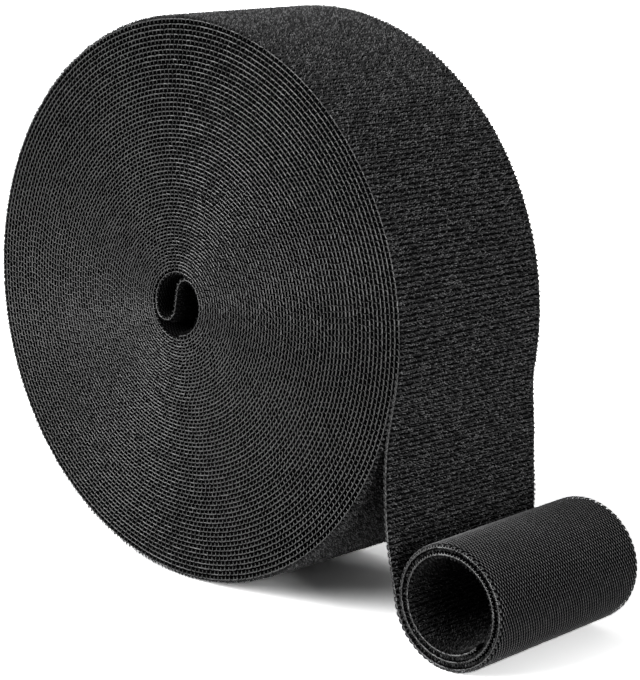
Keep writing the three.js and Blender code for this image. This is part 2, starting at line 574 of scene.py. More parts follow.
def strand_surface(paths: Array, radius: Array, tone: Array, reference: Array, sides: int = 3) -> Surface:
    """Thin round strands carried along paths.

    A corner is its ring's centre plus the radius along a direction that goes evenly round the run. The first
    direction is the reference with its part along the run taken away.

    Args:
        paths: centres of the rings, as strands by rings by three.
        radius: of each ring, as strands by rings, or a shape that spreads to it.
        tone: of each ring, in the same way.
        reference: a vector that the strands never run along, one for all or one for each strand.
        sides: corners round each ring.

    Returns:
        All the strands as one mesh.
    """
    strands, rings, _ = paths.shape
    run = np.gradient(paths, axis=1)
    run /= np.maximum(np.linalg.norm(run, axis=2, keepdims=True), TINY)
    reference = np.broadcast_to(reference, paths.shape)
    first = reference - run * np.sum(reference * run, axis=2, keepdims=True)
    first /= np.maximum(np.linalg.norm(first, axis=2, keepdims=True), TINY)
    second = np.cross(run, first)
    turn = 2 * math.pi * np.arange(sides) / sides
    spokes = first[:, :, None] * np.cos(turn)[:, None] + second[:, :, None] * np.sin(turn)[:, None]
    radius = np.broadcast_to(radius, (strands, rings))
    points = paths[:, :, None] + radius[:, :, None, None] * spokes
    points[..., 2] = np.maximum(points[..., 2], 0.0)
    tones = np.repeat(np.broadcast_to(tone, (strands, rings)).ravel(), sides)
    return Surface(points.reshape(-1, 3), *tube_faces(strands, rings, sides), tones)


def joined(parts: list[Surface]) -> Surface:
    """Several strand meshes as one.

    Args:
        parts: meshes without a map of their own.

    Returns:
        All of them as one mesh, in the same order.
    """
    offsets = np.cumsum([0] + [len(part.points) for part in parts[:-1]])
    return Surface(
        np.concatenate([part.points for part in parts]),
        np.concatenate([part.quads + offset for part, offset in zip(parts, offsets)]),
        np.concatenate([part.caps + offset for part, offset in zip(parts, offsets)]),
        np.concatenate([part.tone for part in parts]),
    )


@dataclass
class Span:
    """A stretch of the tape that a piece covers.

    Attributes:
        run: the whole tape.
        start: length along the line where it begins.
        stop: length along the line where it ends.
        rng: source of the piece's irregularities.
    """

    run: TapeRun
    start: float
    stop: float
    rng: np.random.Generator

    def rows(self, pitch: float) -> Array:
        """Numbers of the rows whose middles lie in the stretch, so that rows run on from piece to piece."""
        return np.arange(math.ceil(self.start / pitch - 0.5), math.ceil(self.stop / pitch - 0.5))

    def middles(self, pitch: float) -> Array:
        """Lengths along the line of the middles of those rows."""
        return (self.rows(pitch) + 0.5) * pitch


def ribbon_surface(span: Span, sagitta: float = 0.01) -> Surface:
    """The backing with the matted foot of its pile: one section carried along the line.

    The section goes from the back edge over the loop side to the front edge and back along the hook side. The
    backing is rounded at both edges, and the pile's foot swells a little way in from them.

    Args:
        span: stretch of the tape.
        sagitta: most that its chords may depart from the line.

    Returns:
        The ribbon, closed at both ends.
    """
    tape, line = span.run.tape, span.run.line
    along = line.stations(span.start, span.stop, sagitta)[:, None]
    inset = tape.selvage * np.array([0.0, 1.0, 3.0, 6.0])
    across = np.concatenate([tape.half_width - inset, inset[::-1] - tape.half_width])
    across = np.append(across, [tape.selvage - tape.half_width, tape.half_width - tape.selvage])
    # At each corner of the section: the side of the backing, the share of the pile's foot, and the tone. The
    # tone is highest at the two rounded edges, a painted highlight of the light that they catch.
    side = np.array([0, 1, 1, 1, 1, 1, 1, 0, -1, -1])
    foot = np.array([0, 0, 0.1, 1, 1, 0.1, 0, 0, 0, 0])
    tone = np.array([0.4, 0.1, 0, 0, 0, 0, 0.1, 0.4, 0, 0])
    height = side * tape.face + foot * line.read(line.fill, along)
    points = line.place(along, across, height)
    uv = np.stack(np.broadcast_arrays(along, across), axis=-1).reshape(-1, 2)
    faces = tube_faces(1, len(along), len(across))
    return Surface(points.reshape(-1, 3), *faces, np.tile(tone, len(along)), uv)


@dataclass(frozen=True)
class EdgeYarn:
    """The yarn that binds an edge of the tape: a row of beads along it, and ticks across the hook side.

    Attributes:
        pitch: from bead to bead along the tape.
        length: share of the pitch that a bead takes.
        askew: how far the ends of a bead may be off its line.
        sunk: share of its radius by which a bead is set into the edge.
        raised: height of the beads, as a share of the loop face's height.
        radius: of a bead.
        bead_sizes: least and greatest share of that radius.
        bead_tones: darkest and lightest tone of a bead.
        stray: how far a bead may be off its place.
        span: share of the room to the next turn that a tick crosses.
        hook: most that a tick stands out from the backing.
        tick: radius of a tick at its root.
        tick_sizes: least and greatest share of that radius.
        tick_tones: least and greatest share of a tick's tone.
        inset: how far in from the edge the tip of a tick lies.
    """

    pitch: float = 1.4
    length: float = 0.84
    askew: float = 0.1
    sunk: float = 0.3
    raised: float = 0.1
    radius: float = 0.18
    bead_sizes: Pair = (0.75, 1.2)
    bead_tones: Pair = (0.2, 1.0)
    stray: float = 0.09
    span: float = 0.9
    hook: float = 0.6
    tick: float = 0.13
    tick_sizes: Pair = (0.8, 1.2)
    tick_tones: Pair = (0.5, 1.0)
    inset: float = 0.06

    def strands(self, span: Span, edge: Edge) -> Surface:
        """Beads and ticks along one edge.

        Args:
            span: stretch of the tape.
            edge: which edge they bind.

        Returns:
            The yarn as one mesh.
        """
        place = span.middles(self.pitch)[:, None]
        place = place + span.rng.uniform(-self.stray, self.stray, place.shape)
        return joined([self.beads(span, place, edge), self.ticks(span, place, edge)])

    def beads(self, span: Span, place: Array, edge: Edge) -> Surface:
        """The beads, each a short straight strand that lies a little askew.

        Args:
            span: stretch of the tape.
            place: lengths along the line, one row for each bead.
            edge: which edge they bind.

        Returns:
            The beads as one mesh.
        """
        tape, rng = span.run.tape, span.rng
        ends = np.array([-1.0, 1.0])
        along = place + 0.5 * self.pitch * self.length * ends
        lean, tilt = self.askew * rng.uniform(-1.0, 1.0, (2, *place.shape))
        across = edge.value * (tape.half_width - self.sunk * self.radius + lean * ends)
        height = self.raised * tape.face + tilt * ends
        radius = self.radius * rng.uniform(*self.bead_sizes, place.shape)
        tone = rng.uniform(*self.bead_tones, place.shape)
        return strand_surface(span.run.line.place(along, across, height), radius, tone, ACROSS)

    def ticks(self, span: Span, place: Array, edge: Edge) -> Surface:
        """The ticks, each from the start of a bead out over the hook side.

        Args:
            span: stretch of the tape.
            place: lengths along the line, one row for each bead.
            edge: which edge they bind.

        Returns:
            The ticks as one mesh.
        """
        tape, line, rng = span.run.tape, span.run.line, span.rng
        depth = np.minimum(line.read(line.room, place) * self.span, self.hook)
        # Each pair below has a value for the root of a tick and one for its tip; the tone falls towards the
        # tip as painted shade in the gap between turns.
        along = place + self.pitch * np.array([-0.4, -0.46])
        height = -tape.face * np.array([0.2, 1.0]) - depth * np.array([0.0, 1.0])
        across = edge.value * (tape.half_width - self.inset * np.array([0.3, 1.0]))
        radius = self.tick * np.array([1.0, 0.6]) * rng.uniform(*self.tick_sizes, place.shape)
        tone = np.array([0.6, 0.2]) * rng.uniform(*self.tick_tones, place.shape)
        return strand_surface(line.place(along, across, height), radius, tone, ACROSS)


COIL_EDGE = EdgeYarn()
LOOSE_EDGE = EdgeYarn(pitch=0.85, radius=0.22, stray=0.04, hook=0.3, tick=0.17)


@dataclass(frozen=True)
class LoopPile:
    """The loop pile: ribs across the tape, each strewn with two rows of small loops that lean every way.

    Attributes:
        rib_pitch: from rib to rib along the tape.
        rib_radius: of a rib's matted body.
        rib_step: between the points of a rib.
        rib_sway: how far a rib wavers along the tape.
        rib_heave: how far it wavers in height.
        rib_swell: share of its radius by which it swells and thins.
        rib_tone: its mean tone.
        rib_mottle: how far that tone varies.
        loop_pitch: from loop to loop across the tape.
        row_gap: between the two rows of a rib.
        reach: half the span of a loop.
        swing: most that a loop turns away from its rib, in radians.
        root: share of the pile's foot at which a loop is rooted.
        rises: least and greatest share of the pile's rise that a loop has.
        droop: share of its rise that a loop loses at its ends.
        radius: of a loop at its top.
        sizes: least and greatest share of that radius.
        taper: share of its radius that a loop loses at its ends.
        shade: share of its tone that a loop loses at its ends, painted shade where it dips into the pile.
        least_tone: of a loop's top.
        stray: how far a loop may be off its place.
        margin: bare strip at each edge.
        proud: most that a loop reaches out beyond the edge.
        lightness: share of the full tone that the pile has, lowered as painted shade where the pile lies deep
            in the bore.
    """

    rib_pitch: float = 1.22
    rib_radius: float = 0.36
    rib_step: float = 1.3
    rib_sway: float = 0.12
    rib_heave: float = 0.2 / 3
    rib_swell: float = 0.15
    rib_tone: float = 0.14
    rib_mottle: float = 0.1
    loop_pitch: float = 0.75
    row_gap: float = 0.5
    reach: float = 0.36
    swing: float = 1.2
    root: float = 0.7
    rises: Pair = (0.7, 1.05)
    droop: float = 0.85
    radius: float = 0.12
    sizes: Pair = (0.75, 1.2)
    taper: float = 0.35
    shade: float = 0.8
    least_tone: float = 0.1
    stray: float = 0.2
    margin: float = 0.15
    proud: float = 0.06
    lightness: float = 1.0

    def columns(self, tape: Tape) -> Array:
        """Numbers of the loops in one row, from edge to edge."""
        return np.arange(int((tape.width - 2 * self.margin) / self.loop_pitch))

    def strands(self, span: Span) -> Surface:
        """Ribs and loops over a whole stretch, as one mesh."""
        ribs = span.middles(self.rib_pitch)
        return joined([self.ribs(span, ribs[:, None]), self.loops(span, ribs, self.columns(span.run.tape))])

    def fringe(self, span: Span, depth: int) -> Surface:
        """Loops along both edges only, for layers that hide the rest of each other's faces.

        Args:
            span: stretch of the tape.
            depth: loops of each row, counted from each edge.

        Returns:
            The loops as one mesh.
        """
        columns = self.columns(span.run.tape)
        outer = np.concatenate([columns[:depth], columns[-depth:]])
        return self.loops(span, span.middles(self.rib_pitch), outer)

    def ribs(self, span: Span, place: Array) -> Surface:
        """The matted bodies of the ribs, which waver from edge to edge.

        Args:
            span: stretch of the tape.
            place: lengths along the line, one row for each rib.

        Returns:
            The ribs as one mesh.
        """
        tape, line = span.run.tape, span.run.line
        reach = tape.half_width - self.margin
        across = np.linspace(-reach, reach, round(2 * reach / self.rib_step))
        sway, swell, mottle = span.rng.uniform(-1.0, 1.0, (3, len(place), len(across)))
        height = tape.face + tape.pile_foot / 2 + self.rib_heave * swell
        points = line.place(place + self.rib_sway * sway, across, height)
        radius = self.rib_radius * (1 + self.rib_swell * swell)
        tone = self.lightness * (self.rib_tone + self.rib_mottle * mottle)
        return strand_surface(points, radius, tone, line.normal(place))

    def loops(self, span: Span, ribs: Array, columns: Array) -> Surface:
        """The loops: the height is highest in the middle and falls as the square of the way from it, and the
        tone falls with it as painted shade towards the ends.

        Args:
            span: stretch of the tape.
            ribs: lengths along the line of the ribs.
            columns: numbers of the loops that each row has.

        Returns:
            The loops as one mesh.
        """
        tape, line, rng = span.run.tape, span.run.line, span.rng
        grids = np.meshgrid(ribs, [-0.5, 0.5], columns, indexing="ij")
        rib, row, column = (grid.reshape(-1, 1) for grid in grids)
        stray = rng.uniform(-self.stray, self.stray, (2, *rib.shape))
        place = rib + row * self.row_gap + stray[0]
        spread = (column + 0.5 + 0.5 * row) * self.loop_pitch + self.margin - tape.half_width + stray[1]
        way = np.array([-1.0, 0.0, 1.0])
        fall = way**2
        swing = rng.uniform(-self.swing, self.swing, rib.shape)
        along = place + self.reach * np.sin(swing) * way
        across = spread + self.reach * np.cos(swing) * way
        rise = tape.pile_rise * rng.uniform(*self.rises, rib.shape)
        height = tape.face + self.root * tape.pile_foot + rise * (1 - self.droop * fall)
        radius = self.radius * (1 - self.taper * fall) * rng.uniform(*self.sizes, rib.shape)
        lit = self.least_tone + (1 - self.least_tone) * rng.uniform(0.0, 1.0, rib.shape) ** 2
        # The tone falls towards the loop's ends: painted shade where the loop goes down into the pile.
        tone = self.lightness * (1 - self.shade * fall) * lit
        reach = tape.half_width - self.radius + self.proud
        points = line.place(along, np.clip(across, -reach, reach), height)
        return strand_surface(points, radius, tone, line.normal(place))


@dataclass(frozen=True)
class HookRows:
    """The hooks: staggered rows of bent stems that all curl along the tape.

    Attributes:
        row_pitch: from row to row along the tape.
        column_pitch: from hook to hook in a row.
        reach: half the length of a hook along the tape.
        radius: of its stem.
        rises: least and greatest share of the hooks' height.
        tones: least and greatest share of a hook's tone.
        stray: how far a hook may be off its place.
        margin: bare strip at each edge.
        stout: how many times as thick the outermost hooks are.
        low: share of the height that the outermost hooks have.
        dull: share of the tone that the outermost hooks have.
    """

    row_pitch: float = 0.85
    column_pitch: float = 0.875
    reach: float = 0.6
    radius: float = 0.085
    rises: Pair = (0.95, 1.05)
    tones: Pair = (0.75, 1.0)
    stray: float = 0.012
    margin: float = 0.15
    stout: float = 2.8
    low: float = 0.55
    dull: float = 0.45

    def strands(self, span: Span) -> Surface:
        """Hooks: up the slanting stem, over its bend and down to the hanging tip, with painted highlight on
        the bend and painted shade on the stem and under the tip.

        Args:
            span: stretch of the tape.

        Returns:
            The hooks as one mesh.
        """
        tape, rng = span.run.tape, span.rng
        count = round((tape.width - 2 * self.margin) / self.column_pitch)
        grids = np.meshgrid(span.rows(self.row_pitch), np.arange(count), indexing="ij")
        row, column = (grid.reshape(-1, 1) for grid in grids)
        place = (row + 0.5) * self.row_pitch + rng.uniform(-self.stray, self.stray, row.shape)
        stagger = 0.5 * (row % 2) - 0.25
        spread = (column - 0.5 * (count - 1) + stagger) * self.column_pitch
        outermost = np.abs(spread) > tape.half_width - 0.5 * self.column_pitch
        spread = spread + rng.uniform(-self.stray, self.stray, row.shape)
        rise = tape.hook_height * np.where(outermost, self.low, 1.0) * rng.uniform(*self.rises, row.shape)
        # Each row of four below has a value for the foot of the stem, its shoulder, the bend and the tip. The
        # tone is darkest at the foot and the tip and lightest at the bend: painted shade on the stem and
        # under the tip, painted highlight on the bend.
        along = place + self.reach * np.array([1.0, 0.4, -0.7, -1.0])
        height = -tape.face - rise * np.array([0.0, 0.85, 1.0, 0.6])
        tone = np.array([0.0, 0.3, 1.0, 0.05]) * rng.uniform(*self.tones, row.shape)
        tone = tone * np.where(outermost, self.dull, 1.0)
        radius = self.radius * np.where(outermost, self.stout, 1.0) * np.array([1.1, 1.0, 0.95, 0.6])
        return strand_surface(span.run.line.place(along, spread, height), radius, tone, ACROSS)


@dataclass(frozen=True)
class StrayFibres:
    """Fine fibres that have worked loose from the pile.

    Attributes:
        count: for each square centimetre.
        reach: longest fibre.
        reaches: least and greatest share of that length.
        radius: of a fibre.
        rings: points along each.
        within: share of the tape's width that they are strewn over.
        veer: most that a fibre's course turns, in radians.
        depth: share of the pile's rise that they are rooted below its top.
        lifts: least and greatest share of its length that a fibre rises.
        arcs: least and greatest angle of the sine that it rises on.
        tones: darkest and lightest fibre.
        reference: a direction that hardly any fibre runs along.
    """

    count: float = 1.5
    reach: float = 1.4
    reaches: Pair = (0.3, 1.0)
    radius: float = 0.03
    rings: int = 6
    within: float = 0.98
    veer: float = 4.0
    depth: float = 0.4
    lifts: Pair = (0.1, 0.6)
    arcs: Pair = (1.2, 2.8)
    tones: Pair = (0.5, 1.0)
    reference: Triple = (0.31, 0.22, 0.93)

    def strands(self, span: Span) -> Surface:
        """Fibres that rise from the pile, each on a slowly turning course.

        Args:
            span: stretch of the tape.

        Returns:
            The fibres as one mesh.
        """
        tape, rng = span.run.tape, span.rng
        square_cm = (span.stop - span.start) * tape.width / 100
        one_each = (max(4, round(self.count * square_cm)), 1)
        place = rng.uniform(span.start, span.stop, one_each)
        spread = rng.uniform(-tape.half_width, tape.half_width, one_each) * self.within
        way = np.linspace(0.0, 1.0, self.rings)
        reach = self.reach * rng.uniform(*self.reaches, one_each)
        course = rng.uniform(0.0, 2 * math.pi, one_each) + way * rng.uniform(-self.veer, self.veer, one_each)
        along = place + reach * np.cumsum(np.cos(course), axis=1) / self.rings
        across = spread + reach * np.cumsum(np.sin(course), axis=1) / self.rings
        lift = rng.uniform(*self.lifts, one_each) * reach
        rise = lift * np.sin(way * rng.uniform(*self.arcs, one_each))
        height = tape.pile_top - self.depth * tape.pile_rise + rise
        tone = rng.uniform(*self.tones, one_each)
        points = span.run.line.place(along, across, height)
        return strand_surface(points, self.radius, tone, np.array(self.reference))


def new_group(name: str, inputs: dict[str, str], outputs: dict[str, str]) -> bpy.types.NodeTree:
    """An empty shader node group with named sockets.

    Args:
        name: of the group.
        inputs: type of each input.
        outputs: type of each output.

    Returns:
        The group, with its Group Input and Group Output nodes.
    """
    group = bpy.data.node_groups.new(name, "ShaderNodeTree")
    for way, sockets in (("INPUT", inputs), ("OUTPUT", outputs)):
        for label, kind in sockets.items():
            group.interface.new_socket(label, in_out=way, socket_type=kind)
    group.nodes.new("NodeGroupInput").name = "in"
    group.nodes.new("NodeGroupOutput").name = "out"
    return group


@dataclass
class NodeMaker:
    """Short calls that add nodes to a tree and join them."""

    tree: bpy.types.NodeTree

    def node(self, kind: str, **values: object) -> bpy.types.Node:
        """A new node with some of its properties set.

        Args:
            kind: Blender's name for the type of node.
            **values: properties.

        Returns:
            The node.
        """
        made = self.tree.nodes.new(kind)
        for key, value in values.items():
            setattr(made, key, value)
        return made

    def feed(self, node: bpy.types.Node, socket: str | int, source: object) -> None:
        """Joins a source socket to an input, or sets the input to a plain value.

        Args:
            node: that takes the input.
            socket: name or number of its input.
            source: socket or plain value.
        """
        if isinstance(source, Socket):
            self.tree.links.new(source, node.inputs[socket])
        else:
            node.inputs[socket].default_value = source

    def math(self, operation: str, first: object, second: object = 0.0) -> Socket:
        """The result of a Math node.

        Args:
            operation: Blender's name for it.
            first: socket or number.
            second: socket or number.

        Returns:
            The result.
        """
        made = self.node("ShaderNodeMath", operation=operation)
        self.feed(made, 0, first)
        self.feed(made, 1, second)
        return made.outputs[0]

    def ramp(self, value: object, low: Pair, high: Pair) -> Socket:
        """A value mapped smoothly from one range to another, and kept within it.

        Args:
            value: socket or number.
            low: least value and what it becomes.
            high: greatest value and what it becomes.

        Returns:
            The mapped value.
        """
        made = self.node("ShaderNodeMapRange", interpolation_type="SMOOTHSTEP")
        for socket, source in zip(range(5), (value, low[0], high[0], low[1], high[1])):
            self.feed(made, socket, source)
        return made.outputs[0]

    def blend(self, share: object, first: object, second: object) -> Socket:
        """Two colours mixed by a share.

        Args:
            share: of the second colour, a socket or number.
            first: socket or colour.
            second: socket or colour.

        Returns:
            The mixed colour.
        """
        made = self.node("ShaderNodeMix", data_type="RGBA")
        self.feed(made, 0, share)
        self.feed(made, 6, first)
        self.feed(made, 7, second)
        return made.outputs[2]


@dataclass
class SharedEffects:
    """The node groups that several finishes use."""

    grain: bpy.types.NodeTree = field(init=False)
    weave: bpy.types.NodeTree = field(init=False)

    def __post_init__(self) -> None:
        """Builds both groups once."""
        self.grain = self.fibre_grain()
        self.weave = self.plain_weave()

    def fibre_grain(self) -> bpy.types.NodeTree:
        """Fine mottling of yarn: coarse noise for its tone, finer noise for its height.

        Returns:
            The group.
        """
        inputs = {"Vector": VECTOR, "Scale": NUMBER}
        group = new_group("fibre_grain", inputs, {"Tone": NUMBER, "Height": NUMBER})
        make = NodeMaker(group)
        source, out = group.nodes["in"].outputs, group.nodes["out"]
        coarse = make.node("ShaderNodeTexNoise")
        fine = make.node("ShaderNodeTexNoise")
        for noise, times, detail in ((coarse, 1.0, 3.0), (fine, 3.1, 2.0)):
            make.feed(noise, "Vector", source["Vector"])
            make.feed(noise, "Scale", make.math("MULTIPLY", source["Scale"], times))
            make.feed(noise, "Detail", detail)
        make.feed(out, "Tone", make.ramp(coarse.outputs["Fac"], (0.3, 0.0), (0.7, 1.0)))
        mixed = make.math("ADD", coarse.outputs["Fac"], fine.outputs["Fac"])
        make.feed(out, "Height", make.math("MULTIPLY", mixed, 0.5))
        return group

    def plain_weave(self) -> bpy.types.NodeTree:
        """Over and under of two yarns: the product of a sine along the tape and a sine across it.

        Returns:
            The group.
        """
        inputs = {"Vector": VECTOR, "Weft": NUMBER, "Warp": NUMBER}
        group = new_group("plain_weave", inputs, {"Height": NUMBER, "Bead": NUMBER})
        make = NodeMaker(group)
        source, out = group.nodes["in"].outputs, group.nodes["out"]
        split = make.node("ShaderNodeSeparateXYZ")
        make.feed(split, 0, source["Vector"])
        waves = []
        for axis, pitch in ((0, "Weft"), (1, "Warp")):
            phase = make.math("DIVIDE", split.outputs[axis], source[pitch])
            waves.append(make.math("SINE", make.math("MULTIPLY", phase, math.pi)))
        crossing = make.math("MULTIPLY", waves[0], waves[1])
        make.feed(out, "Height", make.ramp(crossing, (-1.0, 0.0), (1.0, 1.0)))
        make.feed(out, "Bead", make.math("ABSOLUTE", waves[0]))
        return group


@dataclass(frozen=True)
class YarnFinish:
    """Nylon yarn that runs from its dark colour to its light one with the pieces' tone. It is darker at its
    root and lighter where it stands proud, which is painted shade and painted highlight.

    Attributes:
        name: of the material.
        dark: colour where the tone is 0.
        light: colour where the tone is 1.
        roughness: of its shine.
        gloss: strength of its shine.
        grain: mottles for each metre.
        relief: depth of the grain, in metres.
        ior: index of refraction.
        mottle: shares of the tone in the grain's dark and light places.
        unevenness: how far the grain changes the roughness up and down.
        bump: strength of the relief.
    """

    name: str
    dark: Triple
    light: Triple
    roughness: float
    gloss: float
    grain: float = 5000.0
    relief: float = 0.00006
    ior: float = 1.5
    mottle: Pair = (0.55, 1.15)
    unevenness: float = 0.1
    bump: float = 0.6

    def material(self, effects: SharedEffects) -> bpy.types.Material:
        """The material, from the pieces' tone and the shared grain.

        Args:
            effects: the shared node groups.

        Returns:
            A new material.
        """
        made = bpy.data.materials.new(self.name)
        made.use_nodes = True
        make = NodeMaker(made.node_tree)
        shader = made.node_tree.nodes["Principled BSDF"]
        grain = self.grain_node(make, effects)
        tone = make.node("ShaderNodeAttribute", attribute_name=TONE).outputs["Fac"]
        mottle = make.ramp(grain.outputs["Tone"], (0.0, self.mottle[0]), (1.0, self.mottle[1]))
        share = self.share(make, effects, make.math("MULTIPLY", tone, mottle))
        make.feed(shader, "Base Color", make.blend(share, (*self.dark, 1.0), (*self.light, 1.0)))
        low, high = self.roughness - self.unevenness, self.roughness + self.unevenness
        make.feed(shader, "Roughness", make.ramp(grain.outputs["Tone"], (0.0, high), (1.0, low)))
        make.feed(shader, "Specular IOR Level", self.gloss)
        make.feed(shader, "IOR", self.ior)
        bump = make.node("ShaderNodeBump")
        make.feed(bump, "Strength", self.bump)
        make.feed(bump, "Distance", self.relief)
        make.feed(bump, "Height", self.height(make, effects, grain.outputs["Height"]))
        make.feed(shader, "Normal", bump.outputs["Normal"])
        return made

    def grain_node(self, make: NodeMaker, effects: SharedEffects) -> bpy.types.Node:
        """The shared grain, laid over Object coordinates.

        Args:
            make: adds nodes to the material.
            effects: the shared node groups.

        Returns:
            The group's node.
        """
        node = make.node("ShaderNodeGroup", node_tree=effects.grain)
        make.feed(node, "Vector", make.node("ShaderNodeTexCoord").outputs["Object"])
        make.feed(node, "Scale", self.grain)
        return node

    def share(self, make: NodeMaker, effects: SharedEffects, tone: Socket) -> Socket:
        """Share of the light colour: plain yarn takes its tone as it is."""
        return tone

    def height(self, make: NodeMaker, effects: SharedEffects, grain: Socket) -> Socket:
        """Height of the relief: plain yarn has its grain alone."""
        return grain


@dataclass(frozen=True)
class BackingFinish(YarnFinish):
    """Woven backing: yarn finish with an over and under weave along the tape.

    Attributes:
        weft: half the pitch of the weave along the tape.
        warp: half the pitch of the weave across it.
        weave_gap_shade: share of the tone that is left between the weave's beads, painted shade in the dips
            of the weave.
        rough: share of the grain in the relief.
    """

    weft: float = 0.62
    warp: float = 0.44
    weave_gap_shade: float = 0.6
    rough: float = 0.4

    def weave_node(self, make: NodeMaker, effects: SharedEffects) -> bpy.types.Node:
        """The shared weave, laid along the tape by its own map.

        Args:
            make: adds nodes to the material.
            effects: the shared node groups.

        Returns:
            The group's node.
        """
        node = make.node("ShaderNodeGroup", node_tree=effects.weave)
        make.feed(node, "Vector", make.node("ShaderNodeUVMap", uv_map=TAPE_UV).outputs["UV"])
        make.feed(node, "Weft", self.weft)
        make.feed(node, "Warp", self.warp)
        return node

    def share(self, make: NodeMaker, effects: SharedEffects, tone: Socket) -> Socket:
        """Share of the light colour, which falls between the beads of the weave as painted shade."""
        bead = self.weave_node(make, effects).outputs["Bead"]
        return make.math("MULTIPLY", tone, make.ramp(bead, (0.0, self.weave_gap_shade), (1.0, 1.0)))

    def height(self, make: NodeMaker, effects: SharedEffects, grain: Socket) -> Socket:
        """Height of the relief: the weave with some grain."""
        weave = self.weave_node(make, effects).outputs["Height"]
        return make.math("ADD", weave, make.math("MULTIPLY", grain, self.rough))


BLACK = (0.003, 0.003, 0.0032)
BACKING = BackingFinish("woven_backing", BLACK, (0.03, 0.03, 0.031), 0.8, 0.0)
BINDING = YarnFinish("edge_yarn", BLACK, (0.012, 0.012, 0.0124), 0.23, 1.0, relief=0.00001, ior=1.63)
PILE = YarnFinish("loop_pile_yarn", BLACK, (0.33, 0.33, 0.335), 0.75, 0.06)
# The pile's and hooks' yarn for the eye, about a tenth as light: painted shade of the deep eye.
EYE_SHADE_YARN = YarnFinish("shaded_eye_yarn", BLACK, (0.03, 0.03, 0.0305), 0.8, 0.02)
HOOK = YarnFinish("hook_filament", BLACK, (0.34, 0.34, 0.345), 0.6, 0.02)


@dataclass(frozen=True)
class Carrier:
    """The body that a piece rides on, or the two bodies whose joint it crosses.

    Attributes:
        body: that carries the piece.
        onto: second body, if the piece crosses a joint.
        start: where the bend begins, in millimetres.
        end: where it ends.
    """

    body: Body
    onto: Body | None = None
    start: Triple = (0.0, 0.0, 0.0)
    end: Triple = (0.0, 0.0, 0.0)

    def carry(self, piece: Piece) -> None:
        """Rides the piece on its body; a piece that crosses a joint is only baked where it stands.

        Args:
            piece: finished piece.
        """
        if self.onto is None:
            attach(piece, self.body.value)
            return
        ends = (tuple(MM * value for value in point) for point in (self.start, self.end))
        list(ends)
        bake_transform(piece)


STILL = Carrier(Body.COIL)
PEEL = Carrier(Body.COIL, Body.TAIL, (69.0, 0.0, 61.5), (68.6, 0.0, 51.0))
LIFT = Carrier(Body.TAIL, Body.END_ROLL, (68.8, 0.0, 38.0), (71.3, 0.0, 28.5))


@dataclass
class Dresser:
    """What every sub-assembly needs to make its pieces.

    Attributes:
        run: the whole tape.
        materials: one for each finish, by its name.
        made: pieces so far.
    """

    run: TapeRun
    materials: dict[str, bpy.types.Material]
    made: list[Piece] = field(default_factory=list)

    def span(self, start: float, stop: float) -> Span:
        """A stretch of the tape, with a seeded source for the next piece."""
        return Span(self.run, start, stop, np.random.default_rng(SEED + len(self.made)))

    def dress(self, name: str, surface: Surface, finish: YarnFinish, slot: Slot, carrier: Carrier) -> Piece:
        """Writes a piece, gives it its finish and hands it to its carrier.

        Args:
            name: of the piece.
            surface: its mesh.
            finish: its material.
            slot: the record's slot that it belongs to; not used.
            carrier: what it moves with.

        Returns:
            The piece.
        """
        piece = surface.write(name)
        piece.data.materials.append(self.materials[finish.name])
        carrier.carry(piece)
        self.made.append(piece)
        LOG.info("%s: %d faces", name, len(piece.data.polygons))
        return piece


